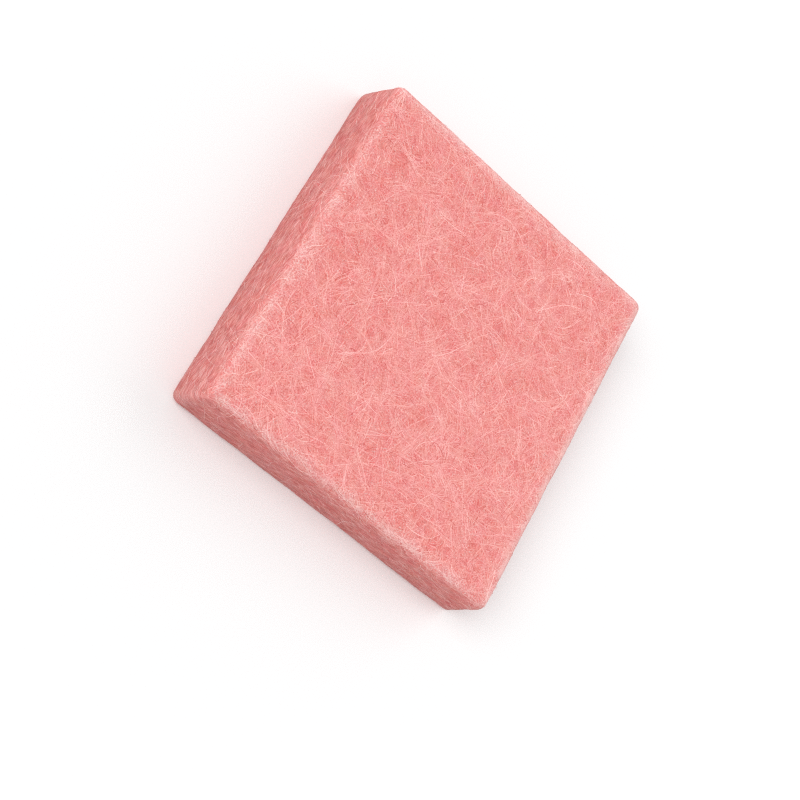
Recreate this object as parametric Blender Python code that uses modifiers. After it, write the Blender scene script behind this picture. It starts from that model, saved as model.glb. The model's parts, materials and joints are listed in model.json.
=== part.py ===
"""A hand-cut slab of pink mineral wool insulation, one solid piece.

Metres, +Z up. The slab lies flat: X runs across its width, Y along its length, and Z through its thickness.
The origin is at the middle of its footprint, on the face that it rests on.
"""

import math

import bmesh
import bpy
from mathutils import Vector

# Size of the slab, measured between the middles of opposite sides
WIDTH = 0.1287
LENGTH = 0.130
THICKNESS = 0.025

# The edges of the fibre mat are soft. The ones round the top face are the softest
TOP_EDGE_RADIUS = 0.0035
BOTTOM_EDGE_RADIUS = 0.0025
CORNER_EDGE_RADIUS = 0.003
EDGE_SEGMENTS = 6

# How far each side's foot stands out past its top, because the knife leaned and the wool gave way
LEFT_LEAN = 0.0019
FRONT_LEAN = 0.0012
RIGHT_LEAN = 0.0018
BACK_LEAN = 0.0004

# How far each side is turned out of square, seen from above, in degrees anticlockwise
LEFT_SKEW = -0.4
FRONT_SKEW = -0.4
RIGHT_SKEW = 0.2
BACK_SKEW = 0.6

SLAB_NAME = "insulation_slab"
WOOL_PINK = (0.87, 0.33, 0.31, 1.0)
WOOL_ROUGHNESS = 0.95

# Each side as its outward direction, its half distance from the middle, its lean and its skew
SIDES = {
    "left": (Vector((-1, 0)), WIDTH / 2, LEFT_LEAN, LEFT_SKEW),
    "front": (Vector((0, -1)), LENGTH / 2, FRONT_LEAN, FRONT_SKEW),
    "right": (Vector((1, 0)), WIDTH / 2, RIGHT_LEAN, RIGHT_SKEW),
    "back": (Vector((0, 1)), LENGTH / 2, BACK_LEAN, BACK_SKEW),
}


def clear_scene():
    for existing in list(bpy.data.objects):
        bpy.data.objects.remove(existing, do_unlink=True)


def side_line(side, height):
    """The straight line of one cut side at a height: (outward direction, distance from the middle)."""
    outward, half_distance, lean, skew = SIDES[side]
    turn = math.radians(skew)
    turned = Vector(
        (
            outward.x * math.cos(turn) - outward.y * math.sin(turn),
            outward.x * math.sin(turn) + outward.y * math.cos(turn),
        )
    )
    middle = outward * half_distance
    below_half_height = 0.5 - height / THICKNESS
    return turned, turned.dot(middle) + lean * below_half_height


def corner_point(side, next_side, height):
    """Where two neighbouring cut sides meet at a height."""
    (first, first_distance), (second, second_distance) = (
        side_line(side, height),
        side_line(next_side, height),
    )
    cross = first.x * second.y - first.y * second.x
    return Vector(
        (
            (first_distance * second.y - second_distance * first.y) / cross,
            (first.x * second_distance - second.x * first_distance) / cross,
            height,
        )
    )


def edge_radius(edge):
    """The softness of an edge: round the top face, round the bottom face, or up a corner."""
    heights = [vert.co.z for vert in edge.verts]
    if min(heights) > THICKNESS / 2:
        return TOP_EDGE_RADIUS
    if max(heights) < THICKNESS / 2:
        return BOTTOM_EDGE_RADIUS
    return CORNER_EDGE_RADIUS


def cut_block(name, bevel_unit):
    """A cube whose eight corners are moved to where the cut sides meet, with each edge's radius as its bevel weight."""
    mesh = bpy.data.meshes.new(name)
    shape = bmesh.new()
    bmesh.ops.create_cube(shape, size=1.0)
    for vert in shape.verts:
        side = "left" if vert.co.x < 0 else "right"
        next_side = "front" if vert.co.y < 0 else "back"
        height = 0.0 if vert.co.z < 0 else THICKNESS
        vert.co = corner_point(side, next_side, height)
    weight = shape.edges.layers.float.new("bevel_weight_edge")
    for edge in shape.edges:
        edge[weight] = edge_radius(edge) / bevel_unit
    bmesh.ops.recalc_face_normals(shape, faces=shape.faces)
    shape.to_mesh(mesh)
    shape.free()
    return mesh


def soften_edges(slab, bevel_unit):
    bevel = slab.modifiers.new("soft_edges", "BEVEL")
    bevel.limit_method = "WEIGHT"
    bevel.width = bevel_unit
    bevel.segments = EDGE_SEGMENTS
    bevel.profile = 0.5
    bevel.harden_normals = True


def stand_on_origin(slab):
    """Moves the slab so that the middle of its footprint is at the origin."""
    bpy.context.view_layer.update()
    evaluated = slab.evaluated_get(bpy.context.evaluated_depsgraph_get())
    corners = [Vector(corner) for corner in evaluated.bound_box]
    low = Vector([min(corner[axis] for corner in corners) for axis in range(3)])
    high = Vector([max(corner[axis] for corner in corners) for axis in range(3)])
    slab.location = (-(low.x + high.x) / 2, -(low.y + high.y) / 2, -low.z)


def wool_material():
    material = bpy.data.materials.new("pink_mineral_wool")
    material.use_nodes = True
    shader = material.node_tree.nodes["Principled BSDF"]
    shader.inputs["Base Color"].default_value = WOOL_PINK
    shader.inputs["Roughness"].default_value = WOOL_ROUGHNESS
    shader.inputs["Metallic"].default_value = 0.0
    return material


def build_slab(collection):
    bevel_unit = max(TOP_EDGE_RADIUS, BOTTOM_EDGE_RADIUS, CORNER_EDGE_RADIUS)
    mesh = cut_block(SLAB_NAME, bevel_unit)
    slab = bpy.data.objects.new(SLAB_NAME, mesh)
    collection.objects.link(slab)
    soften_edges(slab, bevel_unit)
    mesh.shade_smooth()
    mesh.materials.append(wool_material())
    stand_on_origin(slab)
    return slab


def main():
    clear_scene()
    collection = bpy.data.collections.new("mineral_wool_insulation")
    bpy.context.scene.collection.children.link(collection)
    build_slab(collection)


main()
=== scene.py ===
"""The looks of a slab of pink mineral wool: a soft mat with a tangle of real fibres lying on it.

Metres, +Z up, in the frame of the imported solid. X runs across the slab, Y along it, Z through its thickness.
"""

import json
import math

import bpy
import numpy as np
from mathutils import Matrix, Vector
from mathutils.bvhtree import BVHTree


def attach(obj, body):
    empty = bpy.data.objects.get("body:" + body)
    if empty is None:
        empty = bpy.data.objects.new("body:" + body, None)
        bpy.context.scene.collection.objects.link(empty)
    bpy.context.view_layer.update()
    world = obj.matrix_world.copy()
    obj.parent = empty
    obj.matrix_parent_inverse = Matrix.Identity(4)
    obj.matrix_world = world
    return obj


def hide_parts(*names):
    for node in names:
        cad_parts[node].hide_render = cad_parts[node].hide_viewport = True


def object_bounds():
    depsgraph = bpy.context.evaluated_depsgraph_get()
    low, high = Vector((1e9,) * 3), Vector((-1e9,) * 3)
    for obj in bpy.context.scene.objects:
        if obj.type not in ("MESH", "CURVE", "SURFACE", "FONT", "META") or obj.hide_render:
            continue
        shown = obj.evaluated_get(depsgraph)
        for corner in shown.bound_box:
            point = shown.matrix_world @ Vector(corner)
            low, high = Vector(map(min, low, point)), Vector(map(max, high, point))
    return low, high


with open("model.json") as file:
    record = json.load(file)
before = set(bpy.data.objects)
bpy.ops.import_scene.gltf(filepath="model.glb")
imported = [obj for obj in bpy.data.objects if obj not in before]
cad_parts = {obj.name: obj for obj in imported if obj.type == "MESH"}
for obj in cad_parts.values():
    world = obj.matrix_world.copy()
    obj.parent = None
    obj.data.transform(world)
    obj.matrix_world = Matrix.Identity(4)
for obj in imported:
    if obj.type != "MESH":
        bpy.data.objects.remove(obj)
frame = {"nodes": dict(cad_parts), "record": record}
cad_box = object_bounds()

MM = 0.001
SLAB_NODE = "insulation_slab"

# The mat under the fibres
MAT_VOXEL = 1.1 * MM
MAT_DEPTH = 0.15 * MM
LEAST_DEPTH = 0.03 * MM
# Each wave of its relief: its length and its height. Along the cut sides it is stretched
FACE_RELIEF = ((18 * MM, 0.08 * MM), (7 * MM, 0.04 * MM))
SIDE_RELIEF = ((14 * MM, 0.10 * MM), (5 * MM, 0.07 * MM))
SIDE_STRETCH = (0.3, 0.3, 1.0)

# Clumps of denser and thinner wool, and how much the coarse and the fine ones change the tone
CLUMP_SIZE = 9 * MM
FINE_CLUMP_SIZE = CLUMP_SIZE / 2.5
COARSE_CLUMPS = 0.030
FINE_CLUMPS = 0.015
# The pale edge band, partly paler fuzz and partly painted sheen: how uneven it is, and how pale at each edge
EDGE_BAND_UNEVENNESS = 0.18
EDGE_BAND = 3.8 * MM
EDGE_BAND_DOWN = 1.5 * MM
# The band is painted palest on the right and back edges, which the lamps light least
EDGE_FUZZ_AND_PAINTED_SHEEN = {
    ("top_face", "left_side"): 0.33,
    ("top_face", "front_side"): 0.38,
    ("top_face", "right_side"): 0.68,
    ("top_face", "back_side"): 0.50,
    ("left_side", "front_side"): 0.15,
    ("front_side", "right_side"): 0.15,
    ("right_side", "back_side"): 0.15,
    ("back_side", "left_side"): 0.15,
    ("bottom_face", "left_side"): 0.05,
    ("bottom_face", "front_side"): 0.05,
    ("bottom_face", "right_side"): 0.10,
    ("bottom_face", "back_side"): 0.10,
}

# Each fibre is a low three-sided tube, thinner at its ends, so that all of its upper side catches the light
TUBE_SIDES = 3
TUBE_FLATNESS = 0.16
TUBE_END = 0.45

# How far the middle of a fibre stands off the mat, on average, besides part of its radius, in millimetres
FIBRE_LIFT = 0.06
STRAND_LIFT = 0.08

# Short curly fibres. Each has its own curl, and wanders too, in radians a step
TANGLE_CURL = 0.20
TANGLE_WANDER = 0.12

# Guides for the long strands: their rings, their step in millimetres, and how they turn in radians a step
GUIDE_RINGS = 48
GUIDE_STEP = (0.4, 0.9)
GUIDE_DRIFT = 0.03
GUIDE_WANDER = 0.09
# A strand's rings, where on its guide it may start, and how many of the guide's rings it passes
STRAND_RINGS = 9
STRAND_STARTS = (0, 30)
STRAND_SPAN = (14, 38)
# How far a strand strays from its guide, in millimetres: moved aside, slanted, bowed and swaying
STRAND_OFFSET = 0.7
STRAND_SLANT = 1.8
STRAND_BOW = 0.7
STRAND_SWAY = 0.4
STRAND_RADIUS = (0.08, 0.14)
# The share of the strands on the cut sides that is kept
STRANDS_ASIDE = 0.3

# Fibres along the cut sides: most are nearly level, and the others lie at any tilt up to the widest.
# Tilts are in radians, wander in radians a step, and steps and radii in millimetres
SIDE_RINGS = 5
LEVEL_SHARE = 0.85
LEVEL_TILT = 0.3
WIDEST_TILT = 1.2
SIDE_STEP = (0.9, 2.2)
SIDE_WANDER = 0.08
SIDE_RADIUS = (0.06, 0.11)

# How pale the fibres of each kind are, as the mean and the spread
TANGLE_TONE = (0.06, 0.17)
STRAND_TONE = (0.24, 0.12)
SIDE_FIBRE_TONE = (0.10, 0.28)
# A fibre is brighter by so much of its tone above the plain one
FIBRE_SHADE = 0.42
PLAIN_TONE = 0.15
LEAST_FIBRE_SHADE = 0.82

# The wool's colours by tone, as linear light, from the gaps between fibres to the palest strands
PINKS = (
    (0.0, (0.80, 0.175, 0.158)),
    (0.3, (0.865, 0.265, 0.245)),
    (0.6, (0.89, 0.37, 0.348)),
    (1.0, (0.94, 0.56, 0.53)),
)
# How far the fine grain lightens and darkens the wool
GRAIN_SHADE = 0.50
# Patches that lean to orange or to rose: their size, and the hue's swing about 0.5
HUE_PATCH = 4 * MM
HUE_SWING = 0.01
# The grain's size on the faces and on the cut sides, where it is drawn out and has more contrast
FACE_GRAIN = 0.5 * MM
SIDE_GRAIN = 0.6 * MM
SIDE_DRAWN = 4.5
SIDE_CONTRAST = 1.4
# Blender's wave texture repeats every 0.314 at a scale of 1
WAVE_PITCH = 0.314
# The cut sides have a duller tone than the top face, and painted shade darkens them, more so at the foot
SIDE_TONE = 0.16
PAINTED_SIDE_SHADE = 0.03
PAINTED_FOOT_SHADE = 0.22

CAMERA_PLACE = Vector((-0.2520, -0.2162, 0.4976))
CAMERA_FORWARD = Vector((0.4356, 0.3381, -0.8342))
CAMERA_UP = Vector((-0.5733, 0.8187, 0.0324))
CAMERA_LENS = 77.4

# Each lamp: where its light comes from, its strength and how wide it looks, in degrees
LAMPS = {
    "key": (Vector((-0.65, -0.11, 0.79)), 1.54, 45),
    "fill": (Vector((0.64, 0.59, 0.49)), 0.85, 60),
}
SKY_STRENGTH = 0.52

# How pale the floor looks, and how pale it is as a source of bounced light
FLOOR_SEEN = 1.0
FLOOR_BOUNCE = 0.80


def link(obj):
    bpy.context.scene.collection.objects.link(obj)
    return obj


def unit(vectors):
    return vectors / np.maximum(np.linalg.norm(vectors, axis=-1, keepdims=True), 1e-12)


def wave_noise(points, size, seed, stretch=(1, 1, 1), waves=28):
    """A smooth random field with a spread of 1: a sum of plane waves about as long as size."""
    rng = np.random.default_rng(seed)
    directions = unit(rng.normal(size=(waves, 3)))
    pitches = rng.uniform(0.6, 1.6, (waves, 1)) * 2 * math.pi / size
    phases = rng.uniform(0, 2 * math.pi, waves)
    turns = (points * np.array(stretch)) @ (directions * pitches).T
    return np.cos(turns + phases).sum(axis=-1) * math.sqrt(2 / waves)


def inside_faces(points):
    """How far inside each of the slab's six faces every point lies, by the face's name."""
    return {
        face["name"]: -(points - np.array(face["pos_m"])) @ np.array(face["axis"])
        for face in frame["record"]["mounts"]
    }


def edge_fuzz_and_painted_sheen(points):
    """Fuzz and painted sheen at each point: most round the top face, less up the corners and at the foot."""
    bands = {
        face: np.maximum(inside, 0) / (EDGE_BAND_DOWN if face in ("top_face", "bottom_face") else EDGE_BAND)
        for face, inside in inside_faces(points).items()
    }
    edges = [
        amount * np.exp(-(np.maximum(bands[face], bands[other]) ** 2))
        for (face, other), amount in EDGE_FUZZ_AND_PAINTED_SHEEN.items()
    ]
    return np.max(edges, axis=0)


def sideways(normals):
    """1 on the cut sides and 0 on the two faces, with a smooth change where the normal's Z is 0.2 to 0.7."""
    return np.clip(1.4 - 2.0 * np.abs(normals[:, 2]), 0, 1)


def wool_tone(points, normals):
    """How pale the wool is at each point: clumps, and the edge fuzz and painted sheen, stronger in places."""
    clumps = COARSE_CLUMPS * wave_noise(points, CLUMP_SIZE, seed=5)
    clumps += FINE_CLUMPS * wave_noise(points, FINE_CLUMP_SIZE, seed=6)
    edge_band_strength = 1 + EDGE_BAND_UNEVENNESS * wave_noise(points, CLUMP_SIZE, seed=7)
    low = 1 - 0.6 * points[:, 2] / cad_box[1].z
    return clumps + edge_band_strength * edge_fuzz_and_painted_sheen(points) + SIDE_TONE * low * sideways(normals)


def painted_foot_shade(points, normals):
    """How bright the wool is at each point: painted shade, a little darker towards the foot of the cut sides.
    """
    height = np.clip(points[:, 2] / cad_box[1].z, 0, 1)
    return 1 - (PAINTED_SIDE_SHADE + PAINTED_FOOT_SHADE * (1 - height) ** 1.2) * sideways(normals)


def add_attribute(mesh, name, values):
    attribute = mesh.attributes.new(name, "FLOAT", "POINT")
    attribute.data.foreach_set("value", np.asarray(values, np.float32))


def vectors_of(items, name):
    found = np.empty(len(items) * 3)
    items.foreach_get(name, found)
    return found.reshape(-1, 3)


def remeshed_slab():
    """A fine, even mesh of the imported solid."""
    draft = link(bpy.data.objects.new("draft", frame["nodes"][SLAB_NODE].data.copy()))
    remesh = draft.modifiers.new("even_mesh", "REMESH")
    remesh.mode = "VOXEL"
    remesh.voxel_size = MAT_VOXEL
    evaluated = draft.evaluated_get(bpy.context.evaluated_depsgraph_get())
    mesh = bpy.data.meshes.new_from_object(evaluated)
    bpy.data.objects.remove(draft)
    mesh.materials.clear()
    return mesh


def relief(points, waves, seed, stretch=(1, 1, 1)):
    return sum(
        height * wave_noise(points, size, seed + index, stretch)
        for index, (size, height) in enumerate(waves)
    )


def make_mat():
    """The slab's soft body, with shallow clumps on its faces and long streaks along its cut sides."""
    mesh = remeshed_slab()
    points = vectors_of(mesh.vertices, "co")
    normals = vectors_of(mesh.vertices, "normal")
    side = sideways(normals)
    on_face = relief(points, FACE_RELIEF, seed=10)
    on_side = relief(points, SIDE_RELIEF, seed=20, stretch=SIDE_STRETCH)
    depth = np.maximum(MAT_DEPTH + on_face * (1 - side) + on_side * side, LEAST_DEPTH)
    moved = points - normals * depth[:, None]
    mesh.vertices.foreach_set("co", moved.ravel())
    mesh.update()
    mesh.shade_smooth()
    add_attribute(mesh, "tone", wool_tone(moved, normals))
    add_attribute(mesh, "side", side)
    # Painted shade, darker towards the foot of the cut sides
    add_attribute(mesh, "shade", painted_foot_shade(moved, normals))
    return link(bpy.data.objects.new("wool_mat", mesh))


def nearest_on(surface, points):
    """The nearest place on the mat to each point, and the way out of the mat there."""
    found = [surface.find_nearest(Vector(point)) for point in points.reshape(-1, 3)]
    places = np.array([place for place, _, _, _ in found]).reshape(points.shape)
    normals = np.array([normal for _, normal, _, _ in found]).reshape(points.shape)
    return places, normals


def faces_up(normals):
    return normals[:, 2] > 0.4


def faces_down(normals):
    return normals[:, 2] < -0.4


def faces_aside(normals):
    return np.abs(normals[:, 2]) < 0.75


def scattered(mesh, count, rng, wanted):
    """Random places on the mat where wanted(normals) is true, with the way out of the mat there."""
    mesh.calc_loop_triangles()
    triangles = np.empty(len(mesh.loop_triangles) * 3, np.int32)
    mesh.loop_triangles.foreach_get("vertices", triangles)
    corners = vectors_of(mesh.vertices, "co")[triangles.reshape(-1, 3)]
    cross = np.cross(corners[:, 1] - corners[:, 0], corners[:, 2] - corners[:, 0])
    weights = np.linalg.norm(cross, axis=1) * wanted(unit(cross))
    chosen = rng.choice(len(corners), count, p=weights / weights.sum())
    shares = rng.dirichlet((1, 1, 1), count)
    return (corners[chosen] * shares[:, :, None]).sum(axis=1), unit(cross[chosen])


def walked(surface, starts, normals, headings, steps, turns, count):
    """Paths that creep over the mat: each goes on by its step and turns by its own amount, to count rings."""
    places, ways = starts, unit(headings)
    path, outs = [places], [normals]
    for index in range(count - 1):
        across = np.cross(normals, ways)
        turn = turns[index][:, None]
        ways = ways * np.cos(turn) + across * np.sin(turn)
        places, normals = nearest_on(surface, places + ways * steps[:, None])
        ways = unit(ways - normals * (ways * normals).sum(axis=1, keepdims=True))
        path.append(places)
        outs.append(normals)
    return np.stack(path, axis=1), np.stack(outs, axis=1)


def light_as_the_mat(mesh, outs):
    """Shades the fibres' upper faces as the mat under them, because light passes through fibres this thin."""
    corner_verts = np.empty(len(mesh.loops), np.int32)
    mesh.loops.foreach_get("vertex_index", corner_verts)
    sizes = np.empty(len(mesh.polygons), np.int32)
    mesh.polygons.foreach_get("loop_total", sizes)
    own = np.repeat(vectors_of(mesh.polygons, "normal"), sizes, axis=0)
    wanted = outs[corner_verts]
    upper = (own * wanted).sum(axis=1, keepdims=True) > 0.1
    mesh.normals_split_custom_set(np.where(upper, wanted, own).tolist())


def tube_mesh(name, paths, outs, radii, tones, shades):
    """Thin closed tubes along the paths, with their tone and shade on every point."""
    count, rings = paths.shape[:2]
    along = unit(np.gradient(paths, axis=1))
    across = unit(np.cross(along, outs))
    up = np.cross(across, along)
    share = np.sin(np.linspace(0.12, 0.88, rings) * math.pi)
    ring_radii = radii[:, None] * (TUBE_END + (1 - TUBE_END) * share)
    angles = np.arange(TUBE_SIDES) * 2 * math.pi / TUBE_SIDES + math.pi / 2
    spokes = (
        across[:, :, None] * np.cos(angles)[:, None]
        + up[:, :, None] * TUBE_FLATNESS * np.sin(angles)[:, None]
    )
    verts = paths[:, :, None] + spokes * ring_radii[:, :, None, None]

    index = np.arange(count * rings * TUBE_SIDES).reshape(count, rings, TUBE_SIDES)
    beside = np.roll(index, -1, axis=2)
    quads = np.stack([index[:, :-1], index[:, 1:], beside[:, 1:], beside[:, :-1]], axis=-1)
    faces = quads.reshape(-1, 4).tolist()
    faces += index[:, 0].tolist()
    faces += index[:, -1, ::-1].tolist()

    mesh = bpy.data.meshes.new(name)
    mesh.from_pydata(verts.reshape(-1, 3).tolist(), [], faces)
    mesh.shade_smooth()
    light_as_the_mat(mesh, np.repeat(outs.reshape(-1, 3), TUBE_SIDES, axis=0))
    side = sideways(outs.reshape(-1, 3))
    for attribute, values in (("tone", tones.ravel()), ("side", side), ("shade", shades.ravel())):
        add_attribute(mesh, attribute, np.repeat(values, TUBE_SIDES))
    return mesh


def lifted(paths, outs, lifts, radii):
    """The paths raised off the mat in the middle, with their ends tucked in, and never below the floor."""
    share = np.sin(np.linspace(0, 1, paths.shape[1]) * math.pi)
    rise = lifts[:, None] * share - 0.6 * radii[:, None] * (1 - share)
    raised = paths + outs * rise[:, :, None]
    raised[:, :, 2] = np.maximum(raised[:, :, 2], radii[:, None])
    return raised


def fibre_piece(name, paths, outs, radii, lifts, own_tones):
    """Fibres as one mesh. Each adds its own tone to its place's tone, and the paler ones are brighter."""
    raised = lifted(paths, outs, lifts, radii)
    places, normals = raised.reshape(-1, 3), outs.reshape(-1, 3)
    size = raised.shape[:2]
    tones = wool_tone(places, normals).reshape(size) + own_tones[:, None]
    # Not even the deepest ones turn brown
    brighter = np.maximum(1 + FIBRE_SHADE * (own_tones[:, None] - PLAIN_TONE), LEAST_FIBRE_SHADE)
    # Painted shade towards the foot of the cut sides, with each fibre's own brightness
    shades = painted_foot_shade(places, normals).reshape(size) * brighter
    return link(bpy.data.objects.new(name, tube_mesh(name, raised, outs, radii, tones, shades)))


def tangle(name, mat, surface, count, rings, length, radius, seed, wanted):
    """Short curly fibres that lie every way."""
    rng = np.random.default_rng(seed)
    starts, normals = scattered(mat.data, count, rng, wanted)
    headings = np.cross(normals, unit(rng.normal(size=(count, 3))))
    steps = length * rng.uniform(0.6, 1.4, count) / (rings - 1)
    curl = rng.normal(0, TANGLE_CURL, count)
    turns = curl + rng.normal(0, TANGLE_WANDER, (rings - 1, count))
    paths, outs = walked(surface, starts, normals, headings, steps, turns, rings)
    radii = radius * rng.uniform(0.8, 1.2, count)
    lifts = rng.exponential(FIBRE_LIFT, count) * MM + 0.4 * radii
    return fibre_piece(name, paths, outs, radii, lifts, rng.normal(*TANGLE_TONE, count))


def guide_lines(mat, surface, guides, rng, wanted):
    """Long lines that wander over the mat, with the way across each at its rings."""
    starts, normals = scattered(mat.data, guides, rng, wanted)
    headings = np.cross(normals, unit(rng.normal(size=(guides, 3))))
    steps = rng.uniform(*GUIDE_STEP, guides) * MM
    drift = rng.normal(0, GUIDE_DRIFT, guides)
    turns = drift + rng.normal(0, GUIDE_WANDER, (GUIDE_RINGS - 1, guides))
    lines, outs = walked(surface, starts, normals, headings, steps, turns, GUIDE_RINGS)
    return lines, unit(np.cross(outs, np.gradient(lines, axis=1)))


def strayed(count, share, rng):
    """How far each strand lies to one side of its guide, at each share of the strand's length."""
    offset = rng.normal(0, STRAND_OFFSET, count) * MM
    slant = rng.normal(0, STRAND_SLANT, count) * MM
    bow = rng.normal(0, STRAND_BOW, count) * MM
    sway = rng.normal(0, STRAND_SWAY, count) * MM
    aside = offset[:, None] + slant[:, None] * (share - 0.5)
    return aside + (bow[:, None] * 4 * share * (1 - share) + sway[:, None] * np.sin(2 * math.pi * share))


def strands(name, mat, surface, guides, per_guide, seed, wanted):
    """Long pale fibres in loose bundles. Each bundle follows a guide that wanders over the mat."""
    rng = np.random.default_rng(seed)
    lines, across = guide_lines(mat, surface, guides, rng, wanted)
    count = guides * per_guide
    guide = np.repeat(np.arange(guides), per_guide)
    first = rng.integers(*STRAND_STARTS, count)
    length = rng.integers(*STRAND_SPAN, count)
    share = np.linspace(0, 1, STRAND_RINGS)
    ring = np.minimum(first[:, None] + np.rint(length[:, None] * share).astype(int), GUIDE_RINGS - 1)
    at = guide[:, None], ring
    aside = strayed(count, share, rng)
    paths, outs = nearest_on(surface, lines[at] + across[at] * aside[:, :, None])
    kept = wanted(outs[:, STRAND_RINGS // 2]) | (rng.random(count) < STRANDS_ASIDE)
    paths, outs, count = paths[kept], outs[kept], kept.sum()
    radii = rng.uniform(*STRAND_RADIUS, count) * MM
    lifts = rng.exponential(STRAND_LIFT, count) * MM + 0.8 * radii
    return fibre_piece(name, paths, outs, radii, lifts, rng.normal(*STRAND_TONE, count))


def side_fibres(name, mat, surface, count, seed):
    """Fibres along the cut sides, mostly in line with the slab's layers."""
    rng = np.random.default_rng(seed)
    starts, normals = scattered(mat.data, count, rng, faces_aside)
    level = np.cross(normals, np.array([0.0, 0.0, 1.0]))
    climb = np.cross(normals, level)
    is_level = rng.random(count) < LEVEL_SHARE
    level_tilt = rng.normal(0, LEVEL_TILT, count)
    any_tilt = rng.uniform(-WIDEST_TILT, WIDEST_TILT, count)
    tilt = np.where(is_level, level_tilt, any_tilt)
    headings = level * np.cos(tilt)[:, None] + climb * np.sin(tilt)[:, None]
    steps = rng.uniform(*SIDE_STEP, count) * MM
    curl = rng.normal(0, SIDE_WANDER, count)
    turns = curl + rng.normal(0, SIDE_WANDER, (SIDE_RINGS - 1, count))
    paths, outs = walked(surface, starts, normals, headings, steps, turns, SIDE_RINGS)
    radii = rng.uniform(*SIDE_RADIUS, count) * MM
    lifts = rng.exponential(FIBRE_LIFT, count) * MM + 0.4 * radii
    return fibre_piece(name, paths, outs, radii, lifts, rng.normal(*SIDE_FIBRE_TONE, count))


class Nodes:
    """Adds nodes to one material and joins them."""

    def __init__(self, material):
        self.tree = material.node_tree

    def feed(self, socket, value):
        if isinstance(value, bpy.types.NodeSocket):
            self.tree.links.new(value, socket)
        else:
            socket.default_value = value

    def add(self, kind, inputs=(), **settings):
        node = self.tree.nodes.new(kind)
        for key, value in settings.items():
            setattr(node, key, value)
        for name, value in dict(inputs).items():
            self.feed(node.inputs[name], value)
        return node

    def math(self, operation, *values):
        node = self.add("ShaderNodeMath", operation=operation)
        for socket, value in zip(node.inputs, values):
            self.feed(socket, value)
        return node.outputs[0]

    def attribute(self, name):
        return self.add("ShaderNodeAttribute", attribute_name=name).outputs["Fac"]

    def place(self, turn=(0, 0, 0), shift=(0, 0, 0), scale=(1, 1, 1)):
        where = self.add("ShaderNodeTexCoord").outputs["Object"]
        inputs = {"Vector": where, "Rotation": turn, "Location": shift, "Scale": scale}
        return self.add("ShaderNodeMapping", inputs).outputs["Vector"]

    def noise(self, place, size, detail=0.0):
        """Soft noise whose lumps are about size across."""
        inputs = {"Vector": place, "Scale": 1 / size, "Detail": detail}
        return self.add("ShaderNodeTexNoise", inputs).outputs["Fac"]

    def threads(self, place, spacing, wander, bend):
        """Thin lines side by side, about spacing apart, that wander by so many spacings over each bend."""
        inputs = {
            "Vector": place,
            "Scale": WAVE_PITCH / spacing,
            "Distortion": wander * 2 * math.pi,
            "Detail": 1.0,
            "Detail Scale": spacing / WAVE_PITCH / bend,
        }
        lines = self.add("ShaderNodeTexWave", inputs, wave_type="BANDS", bands_direction="X").outputs["Fac"]
        return self.math("POWER", lines, 4.0)


def wool_shader(nodes):
    shader = nodes.tree.nodes["Principled BSDF"]
    shader.inputs["Roughness"].default_value = 0.9
    shader.inputs["Specular IOR Level"].default_value = 0.05
    shader.inputs["Sheen Weight"].default_value = 0.15
    shader.inputs["Sheen Roughness"].default_value = 0.4
    shader.inputs["Sheen Tint"].default_value = (1.0, 0.55, 0.52, 1)
    return shader


def pink_of(nodes, tone, grain):
    """The wool's colour, from the dark gaps between fibres to the palest strands."""
    ramp = nodes.add("ShaderNodeValToRGB", {"Fac": tone})
    stops = ramp.color_ramp.elements
    for stop, (position, colour) in zip(stops, (PINKS[0], PINKS[-1])):
        stop.position, stop.color = position, (*colour, 1)
    for position, colour in PINKS[1:-1]:
        stops.new(position).color = (*colour, 1)
    light = nodes.math("MULTIPLY_ADD", grain, GRAIN_SHADE, 1 - GRAIN_SHADE / 2)
    patches = nodes.noise(nodes.place(), HUE_PATCH)
    hue = nodes.math("MULTIPLY_ADD", patches, HUE_SWING, 0.5 - HUE_SWING / 2)
    # The shade attribute holds painted shade on the cut sides, with each fibre's own brightness
    shade = nodes.math("MULTIPLY", nodes.attribute("shade"), light)
    inputs = {"Color": ramp.outputs["Color"], "Hue": hue, "Value": shade}
    return nodes.add("ShaderNodeHueSaturation", inputs).outputs["Color"]


def speckle(nodes):
    """Small pale and dark places in fibres and mat alike, drawn out into streaks along the cut sides."""
    on_face = nodes.noise(nodes.place(), FACE_GRAIN, detail=1)
    where = nodes.add("ShaderNodeTexCoord").outputs["Object"]
    tilt = (math.radians(10), math.radians(-10), 0)
    inputs = {"Vector": where, "Rotation": tilt, "Scale": (SIDE_DRAWN, SIDE_DRAWN, 1)}
    drawn = nodes.add("ShaderNodeMapping", inputs, vector_type="TEXTURE")
    streaks = nodes.noise(drawn.outputs["Vector"], SIDE_GRAIN, detail=1)
    on_side = nodes.math("MULTIPLY_ADD", streaks, SIDE_CONTRAST, (1 - SIDE_CONTRAST) / 2)
    pick = nodes.add("ShaderNodeMix", {"Factor": nodes.attribute("side"), "A": on_face, "B": on_side})
    return pick.outputs["Result"]


def fibre_material():
    """Paler and deeper pinks from fibre to fibre, with a fine unevenness along each."""
    material = bpy.data.materials.new("wool_fibres")
    material.use_nodes = True
    nodes = Nodes(material)
    shader = wool_shader(nodes)
    grain = speckle(nodes)
    tone = nodes.math("ADD", nodes.attribute("tone"), nodes.math("MULTIPLY_ADD", grain, 0.3, 0.17))
    bump = nodes.add("ShaderNodeBump", {"Strength": 0.3, "Distance": 0.05 * MM, "Height": grain})
    nodes.feed(shader.inputs["Base Color"], pink_of(nodes, tone, grain))
    nodes.feed(shader.inputs["Normal"], bump.outputs["Normal"])
    return material


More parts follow.
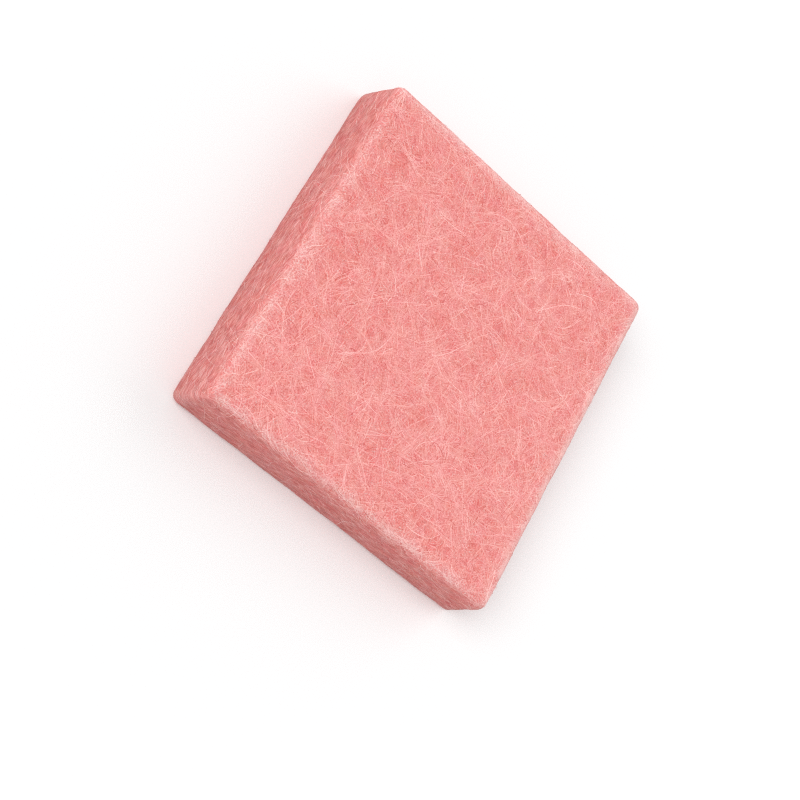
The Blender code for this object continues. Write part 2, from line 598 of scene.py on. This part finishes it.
def crossed_threads(nodes, turns, spacing, wander, bend, patch):
    """Threads that run several ways, each way in patches that come and go."""
    total = 0.0
    for index, turn in enumerate(turns):
        place = nodes.place(turn=turn, shift=(0.013 * index, 0.007 * index, 0.0031 * index))
        lines = nodes.threads(place, spacing * (1 + 0.13 * index), wander, bend)
        patches = nodes.noise(place, patch)
        shown = nodes.add("ShaderNodeMapRange", {"Value": patches, "From Min": 0.3, "From Max": 0.7})
        total = nodes.math("ADD", nodes.math("MULTIPLY", lines, shown.outputs["Result"]), total)
    return total


def mat_material():
    """The mat between the fibres: fine tangled threads on the faces, and level ones along the cut sides."""
    material = bpy.data.materials.new("wool_mat")
    material.use_nodes = True
    nodes = Nodes(material)
    shader = wool_shader(nodes)
    face_turns = [(0, 0, math.radians(angle)) for angle in (10, 47, 83, 118, 155)]
    # A quarter turn about both level axes lays the lines level on every cut side
    side_turns = [(0, math.radians(90 + tilt), 0) for tilt in (-9, 4)]
    on_face = crossed_threads(nodes, face_turns, 0.8 * MM, wander=1.8, bend=4 * MM, patch=2.5 * MM)
    on_side = crossed_threads(nodes, side_turns, 0.8 * MM, wander=1.2, bend=6 * MM, patch=4 * MM)
    pick = nodes.add("ShaderNodeMix", {"Factor": nodes.attribute("side"), "A": on_face, "B": on_side})
    threads = pick.outputs["Result"]
    grain = speckle(nodes)
    height = nodes.math("MULTIPLY_ADD", grain, 1.3, threads)
    tone = nodes.math("ADD", nodes.attribute("tone"), nodes.math("MULTIPLY_ADD", height, 0.4, -0.16))
    rough = nodes.add("ShaderNodeMapRange", {"Value": height, "To Min": 0.95, "To Max": 0.85})
    bump = nodes.add("ShaderNodeBump", {"Strength": 0.5, "Distance": 0.12 * MM, "Height": height})
    nodes.feed(shader.inputs["Base Color"], pink_of(nodes, tone, grain))
    nodes.feed(shader.inputs["Roughness"], rough.outputs["Result"])
    nodes.feed(shader.inputs["Normal"], bump.outputs["Normal"])
    return material


def make_floor():
    """A plain pale floor that looks white, but lights the slab's sides only as a slightly grey one would."""
    bpy.ops.mesh.primitive_plane_add(size=6)
    floor = bpy.context.object
    floor.name = "floor"
    material = bpy.data.materials.new("floor")
    material.use_nodes = True
    nodes = Nodes(material)
    shader = nodes.tree.nodes["Principled BSDF"]
    shader.inputs["Roughness"].default_value = 1.0
    shader.inputs["Specular IOR Level"].default_value = 0.0
    seen = nodes.add("ShaderNodeLightPath").outputs["Is Camera Ray"]
    tone = nodes.math("MULTIPLY_ADD", seen, FLOOR_SEEN - FLOOR_BOUNCE, FLOOR_BOUNCE)
    nodes.feed(shader.inputs["Base Color"], tone)
    floor.data.materials.append(material)


def make_lights():
    for name, (light_from, strength, angle) in LAMPS.items():
        sun = bpy.data.lights.new(name, "SUN")
        sun.energy = strength
        sun.angle = math.radians(angle)
        lamp = link(bpy.data.objects.new(name, sun))
        lamp.rotation_euler = light_from.to_track_quat("Z", "Y").to_euler()
    world = bpy.data.worlds.new("studio")
    world.use_nodes = True
    background = world.node_tree.nodes["Background"]
    background.inputs["Color"].default_value = (1, 1, 1, 1)
    background.inputs["Strength"].default_value = SKY_STRENGTH
    bpy.context.scene.world = world


def make_camera():
    camera = bpy.data.cameras.new("camera")
    camera.lens = CAMERA_LENS
    camera.sensor_width = 36
    camera.clip_start = 0.01
    obj = link(bpy.data.objects.new("camera", camera))
    right = CAMERA_FORWARD.cross(CAMERA_UP).normalized()
    up = right.cross(CAMERA_FORWARD).normalized()
    axes = Matrix((right, up, -CAMERA_FORWARD.normalized())).transposed()
    obj.matrix_world = Matrix.Translation(CAMERA_PLACE) @ axes.to_4x4()
    bpy.context.scene.camera = obj


def make_fibres(mat):
    """All the fibres on the mat, in six pieces."""
    points = [vert.co for vert in mat.data.vertices]
    polygons = [tuple(face.vertices) for face in mat.data.polygons]
    surface = BVHTree.FromPolygons(points, polygons)
    long_curls = {"rings": 5, "length": 6 * MM, "radius": 0.12 * MM}
    short_curls = {"rings": 4, "length": 4 * MM, "radius": 0.11 * MM}
    return [
        tangle("top_tangle", mat, surface, 7400, seed=1, wanted=faces_up, **long_curls),
        tangle("top_fuzz", mat, surface, 7400, seed=5, wanted=faces_up, **short_curls),
        strands("top_strands", mat, surface, guides=720, per_guide=6, seed=2, wanted=faces_up),
        strands("top_wisps", mat, surface, guides=450, per_guide=4, seed=6, wanted=faces_up),
        side_fibres("side_fibres", mat, surface, 7400, seed=3),
        tangle("underside_tangle", mat, surface, 4000, seed=4, wanted=faces_down, **long_curls),
    ]


def main():
    mat = make_mat()
    fibres = make_fibres(mat)
    mat.data.materials.append(mat_material())
    thread = fibre_material()
    for piece in fibres:
        piece.data.materials.append(thread)
        # Light goes through fibres this thin, so they throw no shadow on the wool under them
        piece.visible_shadow = False
        piece.visible_diffuse = False
    for piece in [mat, *fibres]:
        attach(piece, "root")
    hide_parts(SLAB_NODE)
    make_floor()
    make_lights()
    make_camera()
    bpy.context.scene.view_settings.view_transform = "Standard"
    # The fibres are about as fine as a pixel, and denoising would smear them
    bpy.context.scene.cycles.use_denoising = False
    bpy.context.scene.cycles.filter_width = 1.2


main()
